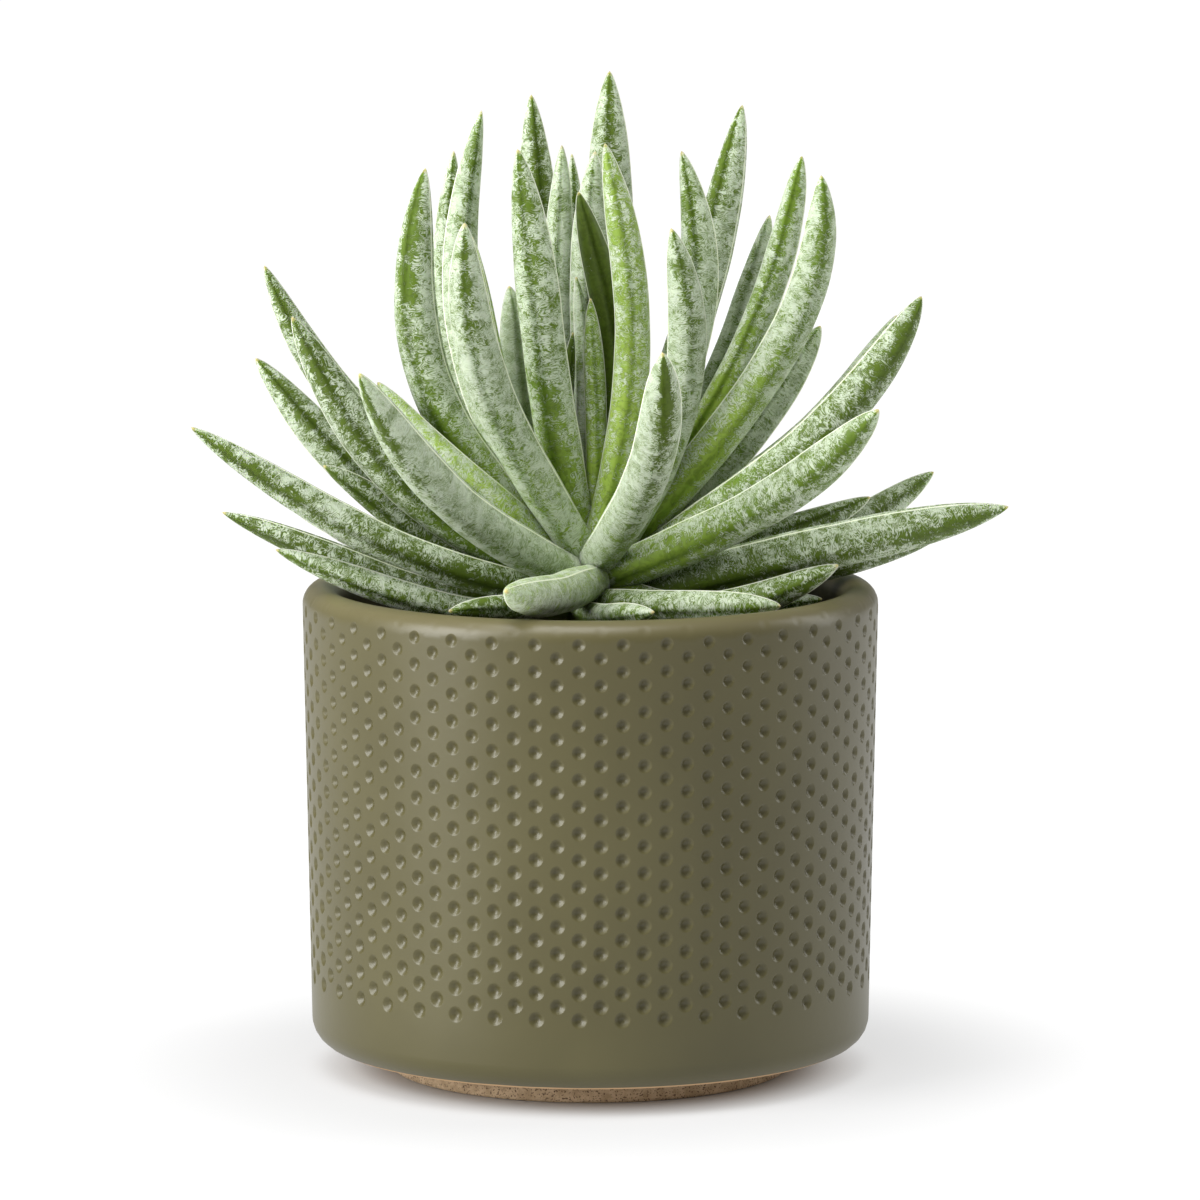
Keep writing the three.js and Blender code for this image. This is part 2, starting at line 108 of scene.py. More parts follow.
# One row for each leaf, in mm: tip x, y, z; middle x, y, z, halfway along; height of its root on the
# stem; full width; and the width at the root as a share of that.
LEAVES = np.array([
    [4, 25, 207, 3, 20, 161.5, 111, 10.3, 0.4],
    [-12.5, 32, 201.5, -9, 25, 156.5, 108, 9.1, 0.38],
    [-23, 35, 198, -26.5, 27, 149, 106.5, 8.1, 0.42],
    [-29, 40, 189, -27, 31, 143, 106, 8.1, 0.42],
    [-34, -4, 189, -33, -5, 146.5, 109, 9.8, 0.5],
    [-25.5, -30, 180, -22, -19, 143.5, 110, 9.6, 0.65],
    [-15, -5, 193, -8.5, -5, 152.5, 113, 9.6, 0.5],
    [-6, 24, 191.5, -5, 17, 153, 112, 6.6, 0.42],
    [1, 14, 191, -1, 11, 155, 113, 8.4, 0.42],
    [3, -9, 194.5, 8, -9, 157, 112, 7.4, 0.6],
    [-2.5, 3, 183.5, 2.5, 2.5, 152.5, 113.5, 7.2, 0.45],
    [0, -4, 162, 1.5, -2, 138.5, 113.5, 4.6, 0.45],
    [-3, 6, 165.5, -1, 5, 141, 113.5, 4.4, 0.45],
    [-3.5, 0, 154.5, -2, 1, 135, 113.5, 3.6, 0.45],
    [-17, 12, 163, -12.5, 8, 138.5, 110, 8, 0.42],
    [16.5, -20, 178, 19.5, -12, 145, 110.5, 8.5, 0.5],
    [19, 15, 191, 23.5, 9, 151, 110.5, 8.5, 0.45],
    [32, 30, 199.5, 22.5, 21, 157.5, 109.5, 9.2, 0.42],
    [38, 38, 175.5, 27.5, 30, 141, 104.5, 8, 0.42],
    [44, 8, 190.5, 34, 6, 159.5, 109.5, 6.7, 0.42],
    [47.5, -10, 188, 40.5, -8, 155, 109, 8.7, 0.5],
    [48, 8, 155, 34, 4, 135, 106, 7.4, 0.42],
    [68.5, -5, 162.5, 47.5, -9, 134.5, 104.5, 9.6, 0.5],
    [64.5, 25, 155.5, 44.5, 18, 128.5, 103.5, 7.5, 0.42],
    [58.5, -40, 143, 38, -26, 123.5, 108, 9.6, 0.5],
    [14.5, -58, 156.5, 12.5, -38, 132.5, 110.5, 9.4, 0.6],
    [73, 35, 121, 45.5, 22, 107, 100.5, 7.8, 0.45],
    [59, 20, 117.5, 34, 13, 106.5, 101.5, 7, 0.45],
    [86.5, -12, 119.5, 46, -13, 111, 103, 10.1, 0.55],
    [72.5, 12, 109.5, 38.5, 6, 102.5, 99, 7.6, 0.45],
    [51, -24, 109, 27, -17, 99.5, 102, 7.6, 0.5],
    [39, -36, 102, 20.5, -31, 101.5, 101, 7.2, 0.7],
    [13, -44, 102, 4.5, -28, 100, 100, 5.6, 0.5],
    [48.5, 4, 98, 31, 2, 97, 97, 5.2, 0.45],
    [-17, -63, 109, -8, -36, 104.5, 107, 9.2, 0.5],
    [-29, -32, 100.5, -15.5, -22, 100, 97, 5.2, 0.5],
    [-65, -15, 111, -35, -14, 102, 98.5, 6.8, 0.5],
    [-76.5, -5, 117.5, -40.5, -4, 105.5, 100, 7, 0.5],
    [-82, -20, 137, -45.5, -16, 116, 104, 7.6, 0.55],
    [-70, 10, 148, -43.5, 6, 122.5, 105, 8.7, 0.42],
    [-68.5, 20, 166.5, -45.5, 13, 128.5, 107, 7.9, 0.45],
    [-61.5, -12, 159, -39, -9, 125.5, 106, 9.2, 0.45],
    [-46.5, -50, 151.5, -29, -30, 124.5, 109, 9.6, 0.65],
    [-44, -8, 145, -28.5, -8, 125, 108.5, 7, 0.45],
    [-55.5, -3, 127, -31.5, -1, 115.5, 103, 7, 0.45],
    [-56.5, 9, 112.5, -31.5, 7, 106, 99, 6, 0.45],
    [-24.5, 0, 174.5, -19, -2, 143.5, 111, 6.4, 0.45],
    [-4, 45, 188, -2, 41, 146.5, 102, 5.6, 0.4],
    [42, 70, 122, 27, 46, 111, 98.5, 8.4, 0.42],
    [-7, 78, 118, -5, 50, 109, 97.5, 8.4, 0.42],
    [-50, 60, 120, -31, 40, 110, 99, 8.4, 0.42],
    [10, 72, 142, 8, 50, 119, 100.5, 8.4, 0.42],
    [-26, 68, 142, -18, 47, 119, 102, 8.4, 0.42],
    [56, 52, 136, 35, 34, 117, 102, 8.4, 0.42],
    [-64, 38, 113.5, -40, 24, 106.5, 98.5, 7, 0.42],
    [7, 62, 166, 6, 52, 134, 100.5, 7.6, 0.42],
])

# How each leaf looks: felt cover, bare below 0 and whole from 1; tone of its flesh from 0, deep green, over
# 1, mid green, to 2, yellow green; strength of the green stripe down its middle; how bare its base is; and
# the width at its base as a share of its full width. A leaf that isn't listed is plain.
PLAIN = (0.85, 0.6, 0.8, 0.4, 0.8)
# The low leaves by the lip, such as 28 to 34, 36 to 42, 45 and 46, have deeper tones, thinner felt and
# barer bases: partly their own colour, partly painted shade where the leaves above shadow them. Leaf 15's
# extra felt is partly painted light, for the light it catches behind the front leaves.
LOOKS = {
    1: (0.85, 0.6, 0.9, 0.4, 0.8), 2: (0.68, 0.5, 0.8, 0.3, 0.8), 3: (1.0, 0.8, 0.8, 0.4, 0.8),
    5: (0.74, 0.7, 1.0, 1.2, 0.8), 6: (0.95, 0.6, 0.9, 0.2, 0.85), 7: (0.7, 0.7, 0.6, 0.9, 0.85),
    8: (1.0, 0.9, 0.6, 0.4, 0.7), 9: (1.0, 0.8, 0.5, 0.3, 0.7), 10: (0.42, 1.45, 0.4, 0.6, 0.9),
    11: (-0.5, 0.3, 0.0, 0.0, 0.8), 12: (0.3, 1.4, 0.0, 0.5, 0.7), 13: (0.9, 1.2, 0.2, 0.4, 0.7),
    14: (0.0, 0.4, 0.0, 1.0, 0.7), 15: (1.6, 1.5, 0.0, 0.0, 0.7), 16: (0.9, 0.7, 0.7, 0.2, 0.75),
    17: (0.9, 0.7, 0.8, 0.5, 0.8), 18: (0.72, 0.6, 1.0, 0.4, 0.8), 19: (0.95, 0.9, 0.4, 0.3, 0.75),
    20: (0.75, 1.1, 1.3, 1.0, 0.8), 21: (0.85, 1.0, 1.0, 1.1, 0.85), 22: (0.9, 0.8, 0.4, 0.2, 0.8),
    23: (0.6, 0.5, 0.9, 0.6, 0.85), 24: (0.9, 0.8, 0.3, 0.3, 0.8), 25: (0.7, 0.8, 0.8, 0.8, 0.9),
    26: (1.1, 0.4, 1.9, 0.1, 0.9), 27: (0.7, 0.5, 0.6, 0.6, 0.8), 28: (0.55, 0.5, 0.5, 0.9, 0.8),
    29: (0.7, 0.5, 0.9, 1.0, 0.9), 30: (0.45, 0.4, 0.5, 0.9, 0.8), 31: (0.35, 0.6, 0.2, 0.9, 1.0),
    32: (0.62, 0.7, 0.3, 1.1, 0.95), 33: (0.62, 0.8, 0.3, 0.6, 0.95), 34: (0.5, 0.5, 0.4, 0.9, 0.9),
    35: (0.9, 1.8, 0.0, 0.2, 0.9), 36: (0.3, 0.5, 0.2, 0.8, 0.9), 37: (0.66, 0.5, 0.6, 0.8, 0.85),
    38: (0.35, 0.3, 0.5, 0.8, 0.9), 39: (0.66, 0.4, 0.8, 0.9, 0.9), 40: (0.66, 0.4, 0.8, 0.6, 0.85),
    41: (0.6, 0.4, 0.7, 0.4, 0.8), 42: (0.5, 0.35, 0.7, 0.5, 0.85), 43: (1.15, 0.5, 1.4, 0.1, 0.9),
    44: (0.6, 1.8, 0.1, 0.5, 0.8), 45: (0.35, 0.4, 0.4, 0.8, 0.8), 46: (0.4, 0.4, 0.5, 0.9, 0.8),
    47: (0.45, 1.9, 0.0, 0.8, 0.8),
}

# Camera, fitted to the photograph: its place in mm, its tilt down in radians, and its lens in pixels of the
# image, on a sensor in mm.
CAMERA_PLACE = (2.0, -1600.0, 322.2)
CAMERA_PITCH = 0.139
FOCAL_PIXELS, IMAGE_PIXELS, SENSOR = 7746.0, 1200.0, 36.0


def bezier_shares(s):
    """Share of each of the four handles of a cubic curve at each place s."""
    t = 1 - s
    return np.stack([t**3, 3 * t * t * s, 3 * t * s * s, s**3], -1)


def smoothstep(low, high, x):
    """0 below low, 1 above high and a smooth 3t^2 - 2t^3 between them."""
    t = np.clip((x - low) / (high - low), 0, 1)
    return t * t * (3 - 2 * t)


def solid_width(s, root_share):
    """The solids' width along a leaf: a swelling root, then a rounded finger end."""
    swell = root_share + (1 - root_share) * smoothstep(0, FULL_WIDTH_FROM, s)
    end = np.maximum(0, (s - TAPER_FROM) / (1 - TAPER_FROM))
    return swell * np.sqrt(np.maximum(0, 1 - end**TAPER_POWER))


def toward(vectors, length):
    """Vectors scaled to a length."""
    return vectors * (length / np.linalg.norm(vectors, axis=-1))[..., None]


def first_handles(rows):
    """Handles of each leaf's cubic middle line: the root on the stem, two inner handles most of the way
    to the corner where the leaf's straight ends would meet, and the tip."""
    tip, middle, height = rows[:, 0:3], rows[:, 3:6], rows[:, 6]
    over = np.maximum(0, height - STEM_SHOULDER)
    reach = np.sqrt(STEM_RADIUS**2 - over**2)
    root = np.column_stack([toward(middle[:, :2], reach), height])
    ends = (root + tip) / 2
    corner = ends + (middle - ends) / (INNER_SHARE * CORNER_SHARE)
    inner = [root + CORNER_SHARE * (corner - root), tip + CORNER_SHARE * (corner - tip)]
    return np.stack([root, *inner, tip], 1)


def settled(handles, width, root_share):
    """Handles nudged until no two leaves, and no leaf and the lip or the soil, are closer than the gap.
    In each round every pair is pushed apart at its tightest place, and each root slides back onto the
    stem."""
    handles = handles.copy()
    places = np.linspace(0, 1, SETTLE_PLACES) ** SETTLE_CROWDING
    shares = bezier_shares(places)
    pull = shares**2 / (shares**2).sum(1, keepdims=True)
    radii = 0.5 * width[:, None] * solid_width(places, root_share[:, None])
    first, second = np.triu_indices(len(handles), 1)
    for _ in range(SETTLE_ROUNDS):
        lines = shares @ handles
        low = lines.min(1) - 0.5 * width[:, None]
        high = lines.max(1) + 0.5 * width[:, None]
        near = ((low[first] <= high[second]) & (low[second] <= high[first])).all(1)
        a, b = first[near], second[near]
        gaps = np.sqrt(np.maximum(0, (lines**2).sum(2)[a][:, :, None] + (lines**2).sum(2)[b][:, None, :]
                                  - 2 * lines[a] @ lines[b].transpose(0, 2, 1)))
        short = (radii[a][:, :, None] + radii[b][:, None, :] + LEAF_GAP - gaps).reshape(len(a), -1)
        where, worst = short.argmax(1), short.max(1)
        a, b, where, worst = (x[worst > 0] for x in (a, b, where, worst))
        i, j = np.divmod(where, SETTLE_PLACES)
        apart = toward(lines[a, i] - lines[b, j], SETTLE_STEP * worst)
        room = radii + LEAF_GAP
        lip = np.dstack([toward(lines[:, :, :2], POT_RADIUS - LIP_ROUND),
                         np.full(room.shape, POT_HEIGHT - LIP_ROUND)])
        away = lines - lip
        past = room + LIP_ROUND - np.linalg.norm(away, axis=2)
        leaf_l, place_l = np.nonzero(past > 0)
        sunk = SOIL_TOP + SOIL_MOUND + room - lines[:, :, 2]
        leaf_s, place_s = np.nonzero(sunk > 0)
        leaf = np.concatenate([a, b, leaf_l, leaf_s])
        place = np.concatenate([i, j, place_l, place_s])
        push = np.concatenate([apart, -apart, toward(away[leaf_l, place_l], past[leaf_l, place_l]),
                               sunk[leaf_s, place_s][:, None] * [0, 0, 1]])
        move, weight = np.zeros(handles.shape), np.zeros(handles.shape[:2])
        np.add.at(move, leaf, pull[place][:, :, None] * push[:, None, :])
        np.add.at(weight, leaf, shares[place])
        handles += move * (HANDLE_EASE / np.maximum(1, weight))[..., None]
        core = np.zeros((len(handles), 3))
        core[:, 2] = np.minimum(handles[:, 0, 2], STEM_SHOULDER)
        handles[:, 0] = core + toward(handles[:, 0] - core, STEM_RADIUS)
    return handles


def mesh_piece(name, points, faces, material, nodes=(), values=None, smooth=True):
    """A mesh from points in mm, with vectors for its points, that rides on the one body and stands for
    nodes."""
    mesh = bpy.data.meshes.new(name)
    mesh.from_pydata((points * MM).tolist(), [], faces)
    for key, data in (values or {}).items():
        layer = mesh.attributes.new(key, "FLOAT_VECTOR", "POINT")
        layer.data.foreach_set("vector", data.astype(np.float32).ravel())
    mesh.polygons.foreach_set("use_smooth", [smooth] * len(mesh.polygons))
    mesh.validate()
    mesh.materials.append(material)
    piece = bpy.data.objects.new(name, mesh)
    bpy.context.scene.collection.objects.link(piece)
    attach(piece, "root")
    if nodes:
        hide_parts(*nodes)
    return piece


def closed_faces(rings, sides):
    """Faces of a closed skin: quads between rings of points, which close round, and a fan at each end,
    whose middle points come last. They face out where the rings run up and the points anticlockwise."""
    i, j = np.meshgrid(np.arange(rings - 1), np.arange(sides), indexing="ij")
    k = (j + 1) % sides
    quads = np.stack([i * sides + j, i * sides + k, (i + 1) * sides + k, (i + 1) * sides + j], -1)
    j, k = j[0], k[0]
    top = (rings - 1) * sides
    first_fan = np.stack([k, j, np.full(sides, rings * sides)], -1)
    last_fan = np.stack([top + j, top + k, np.full(sides, rings * sides + 1)], -1)
    return quads.reshape(-1, 4).tolist() + first_fan.tolist() + last_fan.tolist()


class Socket:
    """A value in a material's nodes. The usual operators add Math nodes."""

    def __init__(self, made, socket):
        self.made, self.socket = made, socket

    def maths(self, operation, *values):
        """A Math node of one or two values."""
        return self.made.node("ShaderNodeMath", {"operation": operation}, dict(enumerate(values)))

    def sine(self):
        """The sine of a value in radians."""
        return self.maths("SINE", self)

    def __add__(self, other):
        return self.maths("ADD", self, other)

    def __sub__(self, other):
        return self.maths("SUBTRACT", self, other)

    def __rsub__(self, other):
        return self.maths("SUBTRACT", other, self)

    def __mul__(self, other):
        return self.maths("MULTIPLY", self, other)

    def __pow__(self, other):
        return self.maths("POWER", self, other)

    __radd__, __rmul__ = __add__, __mul__


class Finish:
    """A material built from its Principled shader."""

    def __init__(self, name, **fixed):
        self.material = bpy.data.materials.new(name)
        self.material.use_nodes = True
        self.tree = self.material.node_tree
        self.shader = self.tree.nodes["Principled BSDF"]
        for socket, value in fixed.items():
            self.shader.inputs[socket.replace("_", " ")].default_value = value

    def node(self, kind, settings=None, inputs=None, output=0):
        """A node of a type, with its settings and then the values or links of its inputs."""
        made = self.tree.nodes.new(kind)
        for key, value in (settings or {}).items():
            setattr(made, key, value)
        for key, value in (inputs or {}).items():
            self.feed(made.inputs[key], value)
        return Socket(self, made.outputs[output])

    def feed(self, socket, value):
        """Links a value of the nodes to a socket, or sets the socket to a plain value."""
        if isinstance(value, Socket):
            self.tree.links.new(value.socket, socket)
        else:
            socket.default_value = value

    def place(self):
        """The place on the piece, in metres."""
        return self.node("ShaderNodeTexCoord", output="Object")

    def attribute(self, name, output):
        """Vectors that the piece's mesh holds under a name."""
        return self.node("ShaderNodeAttribute", {"attribute_name": name}, output=output)

    def parts(self, vector):
        """The three numbers of a vector."""
        outputs = self.node("ShaderNodeSeparateXYZ", {}, {0: vector}).socket.node.outputs
        return [Socket(self, output) for output in outputs]

    def vector(self, *parts):
        """A vector from three numbers."""
        return self.node("ShaderNodeCombineXYZ", {}, dict(enumerate(parts)))

    def noise(self, place, scale, detail, rough, bend=0.0):
        """Soft noise round 0.5, with scale steps to a unit of place."""
        return self.node("ShaderNodeTexNoise", {}, {
            "Vector": place, "Scale": scale, "Detail": detail, "Roughness": rough, "Distortion": bend})

    def step(self, value, low, high):
        """0 below low, 1 above high and smooth between them."""
        settings = {"interpolation_type": "SMOOTHSTEP"}
        return self.node("ShaderNodeMapRange", settings, {0: value, 1: low, 2: high})

    def blend(self, share, a, b):
        """Colour a where share is 0, and b where it is 1."""
        made = self.node("ShaderNodeMix", {"data_type": "RGBA"}, {"Factor": share}, output=2)
        mix = made.socket.node
        for slot, colour in ((6, a), (7, b)):
            self.feed(mix.inputs[slot], colour if isinstance(colour, Socket) else (*colour, 1))
        return made

    def relief(self, height, distance, strength):
        """A normal bent by a height, whose whole step is a distance in metres."""
        inputs = {"Height": height, "Distance": distance, "Strength": strength}
        return self.node("ShaderNodeBump", {}, inputs)

    def set(self, **links):
        """Feeds the shader's sockets, named with _ for each space, and gives the material."""
        for socket, value in links.items():
            self.feed(self.shader.inputs[socket.replace("_", " ")], value)
        return self.material


def linear(red, green, blue):
    """A screen colour from 0 to 255 as linear light."""
    screen = (red / 255, green / 255, blue / 255)
    return tuple(((c + 0.055) / 1.055) ** 2.4 if c > 0.04 else c / 12.92 for c in screen)


def glaze_finish():
    """Satin olive glaze, thinner and paler on the lip, that ends under the bottom edge in a tan line
    over bare speckled clay."""
    f = Finish("olive_glaze", IOR=1.5, Specular_IOR_Level=0.5)
    place = f.place()
    z = f.parts(place)[2]
    cloud = f.noise(place, 28, 3, 0.6)
    fine = f.noise(place, 420, 2, 0.5)
    olive = f.blend(f.step(cloud, 0.3, 0.7), linear(76, 71, 39), linear(82, 77, 44))
    olive = f.blend(f.step(z, *PALE_LIP) * 0.35, olive, linear(128, 120, 88))
    speck = f.noise(place, 2600, 1, 0.5)
    grit = f.noise(place, 500, 3, 0.6)
    clay = f.blend(f.step(grit, 0.35, 0.65), linear(168, 145, 114), linear(194, 170, 138))
    clay = f.blend(f.step(speck, 0.58, 0.66), clay, linear(96, 76, 58))
    edge = z + (f.noise(place, 90, 2, 0.5) - 0.5) * 0.0004
    bare = 1 - f.step(edge, *TAN_END)
    clay_share = 1 - f.step(edge, *CLAY_END)
    colour = f.blend(clay_share, f.blend(bare, olive, linear(196, 160, 118)), clay)
    relief = f.relief(fine * (1 - bare) + grit * bare * 4, 0.00004, 0.5)
    return f.set(Base_Color=colour, Roughness=0.38 + bare * 0.45 + (cloud - 0.5) * 0.1, Normal=relief)


def leaf_finish():
    """Green flesh under a pale felt that thins to mottles edged with short curled strokes, with a pale
    margin along each edge, brightened into a painted highlight, and a tan point. "grain" is the place in
    the straightened leaf in mm, "flesh" the colour under the felt, and "cover" the felt, the edge line and
    the point. The strokes are the waves of a sine of a bent noise, so they run like the contour lines of
    low hills."""
    f = Finish("felted_leaf", Subsurface_Weight=0.55, Subsurface_Radius=(0.8, 1.0, 0.5),
               Subsurface_Scale=0.004, IOR=1.45, Specular_IOR_Level=0.22)
    grain = f.attribute("grain", "Vector")
    flesh = f.attribute("flesh", "Color")
    felt, edge, point = f.parts(f.attribute("cover", "Vector"))
    x, y, along = f.parts(grain)
    patch = f.noise(grain, 0.32, 2, 0.6, 0.6)
    mottle = f.noise(grain, 0.7, 2, 0.55, 1.2)
    hills = f.noise(f.vector(x * 0.75, y * 0.75, along * 1.4), 0.4, 1, 0.45, 2.2)
    curl = (hills * CURLS).sine()
    level = felt + (patch - 0.5) * 1.6 + (mottle - 0.5) * 1.9 + curl * 0.3
    cover = f.step(level, 0.08, 0.85)
    shade = f.step(mottle, 0.4, 0.62) * 0.55
    green = f.blend(shade, flesh, f.blend(0.6, flesh, linear(46, 56, 14)))
    pale = f.blend(f.step(patch + curl * 0.14, 0.25, 0.75), linear(146, 160, 128), linear(200, 210, 190))
    colour = f.blend(cover * 0.88, green, pale)
    # The pale edge line is partly the leaf's margin and partly a painted highlight along its edges.
    colour = f.blend(f.step(edge, 0.1, 0.6) * 0.9, colour, linear(226, 232, 206))
    colour = f.blend(point, colour, linear(190, 174, 120))
    relief = f.relief(cover * 0.6 + mottle * 0.6, 0.00012, 0.5)
    return f.set(Base_Color=colour, Roughness=0.42 + cover * 0.38, Normal=relief)


def soil_finish():
    """Dark potting mix with a few paler bits."""
    f = Finish("potting_mix", Roughness=0.95)
    place = f.place()
    crumb = f.noise(place, 700, 4, 0.7)
    colour = f.blend(f.step(crumb, 0.35, 0.7), linear(24, 18, 13), linear(62, 47, 34))
    return f.set(Base_Color=colour, Normal=f.relief(crumb, 0.0006, 0.8))


def stem_finish():
    """Green stem skin that browns toward the soil."""
    f = Finish("stem_skin", Roughness=0.6)
    place = f.place()
    z = f.parts(place)[2]
    bark = f.noise(place, 500, 3, 0.6, 0.6)
    green = f.blend(f.step(bark, 0.3, 0.7), linear(66, 92, 34), linear(104, 128, 62))
    brown = f.blend(f.step(bark, 0.3, 0.7), linear(70, 56, 38), linear(112, 92, 64))
    colour = f.blend(f.step(z + (bark - 0.5) * 0.006, *BROWN_END), brown, green)
    return f.set(Base_Color=colour, Normal=f.relief(bark, 0.0004, 0.7))


def pot_piece(material):
    """The pot's skin: a profile of radii and heights turned round the Z axis. On the wall, each cell of
    the grid holds one dimple: its square rings of points are drawn in to circles, and sunk by a bowl."""
    sides, half = DIMPLE_COLUMNS * DIMPLE_STEPS, DIMPLE_STEPS // 2
    half_width = math.pi * POT_RADIUS / DIMPLE_COLUMNS
    half_pitch = (DIMPLE_TOP - DIMPLE_BOTTOM) / DIMPLE_HALF_ROWS
    row_step = 2 * half_pitch / DIMPLE_STEPS
    wall_foot, wall_top = FOOT_HEIGHT + EDGE_ROUND, POT_HEIGHT - LIP_ROUND
    wall = wall_top - wall_foot

    def bends(u):
        """Angles turned over the lip and under the bottom edge at a distance u up the outside."""
        return np.clip((u - wall) / LIP_ROUND, 0, math.pi), np.clip(-u / EDGE_ROUND, 0, math.pi / 2)

    def profile(u):
        """Radius and height of the undimpled outside at a distance u up it, from the wall's foot."""
        over, under = bends(u)
        radius = POT_BASE_RADIUS + (POT_RADIUS - POT_BASE_RADIUS) * np.clip(u / wall, 0, 1)
        radius = radius - LIP_ROUND * (1 - np.cos(over)) - EDGE_ROUND * (1 - np.cos(under))
        height = wall_foot + np.clip(u, 0, wall) + LIP_ROUND * np.sin(over) - EDGE_ROUND * np.sin(under)
        return radius, height

    # Rows of points from half a cell below the middles of the lowest dimples to a cell above those of the
    # highest. A point lies in its cell at a across and b up, from -1 to 1, round the dimple's middle row.
    top_row = DIMPLE_HALF_ROWS * half
    rows = np.arange(-half, top_row + DIMPLE_STEPS + 1)
    k, j = np.meshgrid(rows, np.arange(sides), indexing="ij")
    a = (j % DIMPLE_STEPS - half) / half
    shift = j // DIMPLE_STEPS % 2 * half
    b = ((k - shift + half) % DIMPLE_STEPS - half) / half
    ring = np.maximum(abs(a), abs(b))
    middle_row = k - b * half
    on = (middle_row > -1) & (middle_row < rows[-1] - 2)
    faint = np.where(middle_row > top_row + 1, FAINT_SHARE, 1.0)
    share = np.clip(middle_row / top_row, 0, 1)
    radius = DIMPLE_RADII[0] + (DIMPLE_RADII[1] - DIMPLE_RADII[0]) * share
    depth = (DIMPLE_DEPTHS[0] + (DIMPLE_DEPTHS[1] - DIMPLE_DEPTHS[0]) * share) * faint * on
    # The points of a square ring take even angles round a circle. On a cell's own rim nothing moves.
    wide = abs(a) >= abs(b)
    top, bottom = np.where(wide, b, a), np.where(wide, a, b)
    part = np.divide(top, bottom, out=np.zeros_like(top), where=bottom != 0) * math.pi / 4
    phi = np.where(wide, part, math.pi / 2 - part) + np.where(bottom < 0, math.pi, 0)
    spread = np.interp(ring, RING_PLACES, RING_RADII) * radius
    sunk = np.interp(ring, RING_PLACES, RING_DEPTHS) * depth
    hold = np.where((ring < 1) & on, 1.0, 0.0)
    u = DIMPLE_BOTTOM - wall_foot + k * row_step + hold * (spread * np.sin(phi) - b * half_pitch)
    angle = 2 * math.pi * (j / sides) + hold * (spread * np.cos(phi) - a * half_width) / POT_RADIUS
    over, under = bends(u)
    out, height = profile(u)
    out, height = out - sunk * np.cos(over), height - sunk * np.sin(over)
    dimpled = np.stack([out * np.cos(angle), out * np.sin(angle), height], -1)

    def plain(radii, heights):
        """Plain rings at radii and heights."""
        angles = 2 * math.pi * np.arange(sides) / sides
        radii, heights = np.asarray(radii, float)[:, None], np.asarray(heights, float)[:, None]
        return np.stack([radii * np.cos(angles), radii * np.sin(angles), heights + 0 * angles], -1)

    # The foot is eased over a hair at its lower edge and where it meets the pot.
    ease, corner = 0.2, 0.3
    foot = plain(FOOT_RADIUS + np.array([-FOOT_BEVEL, -ease, 0, 0, corner]),
                 [0, ease, FOOT_BEVEL, FOOT_HEIGHT - corner, FOOT_HEIGHT])
    bottom_rings, lip_rings, least_turn = 6, 6, 0.15
    low = np.concatenate([-EDGE_ROUND * np.linspace(math.pi / 2, least_turn, bottom_rings), [0]])
    high = np.linspace(u[-1, 0], wall + LIP_ROUND * math.pi, lip_rings + 1)[1:]
    # The inside: a small step in under the lip, then a slope down to the floor.
    step, step_height, slope_radii, slope_heights = 0.35, 95, [51.6, 49.9], [SOIL_TOP, 50]
    inside = plain([POT_RADIUS - 2 * LIP_ROUND - step, *slope_radii, FLOOR_RADIUS],
                   [step_height, *slope_heights, FLOOR_TOP])
    rings = np.concatenate([foot, plain(*profile(low)), dimpled, plain(*profile(high)), inside])
    points = np.concatenate([rings.reshape(-1, 3), [[0, 0, 0], [0, 0, FLOOR_TOP]]])
    pot = mesh_piece("dimpled_pot", points, closed_faces(len(rings), sides), material, ["pot"])
    # Between the dimples the glaze is shaded as the plain wall is.
    level = np.cos(over) * np.cos(under)
    smooth = np.stack([level * np.cos(angle), level * np.sin(angle), np.sin(over) - np.sin(under)], -1)
    normals = np.empty(3 * len(points), np.float32)
    pot.data.vertex_normals.foreach_get("vector", normals)
    normals = normals.reshape(-1, 3)
    start = (len(foot) + len(low)) * sides
    kept = normals[start:start + dimpled[..., 0].size].reshape(dimpled.shape)
    flat = (ring >= RING_PLACES[-2]) | ~on
    kept[flat] = smooth[flat]
    pot.data.normals_split_custom_set_from_vertices(normals.tolist())


def soil_piece(material):
    """A mounded disc of potting mix: rings round the stem, raised and lowered by a sum of turned waves,
    over a plain lower skin that lies inside the pot."""
    sides, steps, wave_count, wave_height, seed = 96, 30, 24, 0.16, 5
    low, ledge, stem_foot, drop = 60, 86, 88, 0.5
    radii = np.concatenate([[47, 51], np.linspace(SOIL_OUTER, SOIL_INNER, steps), [SOIL_INNER - 0.2]])
    heights = np.concatenate([[low, ledge], SOIL_TOP + SOIL_MOUND * np.linspace(0, 1, steps), [stem_foot]])
    angle = np.arange(sides) * 2 * math.pi / sides
    x, y = radii[:, None] * np.cos(angle), radii[:, None] * np.sin(angle)
    waves = 0
    rng = np.random.default_rng(seed)
    for _ in range(wave_count):
        way, length, phase = rng.uniform(0, 2 * math.pi), rng.uniform(2.2, 11), rng.uniform(0, 2 * math.pi)
        waves = waves + np.sin((x * math.cos(way) + y * math.sin(way)) * 2 * math.pi / length + phase)
    ring = np.arange(len(radii))
    lift = np.where((ring > 1) & (ring <= steps), wave_height, 0)[:, None]
    rings = np.stack([x, y, heights[:, None] + lift * waves - drop], -1)
    points = np.concatenate([rings.reshape(-1, 3), [[0, 0, low], [0, 0, stem_foot]]])
    mesh_piece("potting_soil", points, closed_faces(len(rings), sides), material, ["soil"])


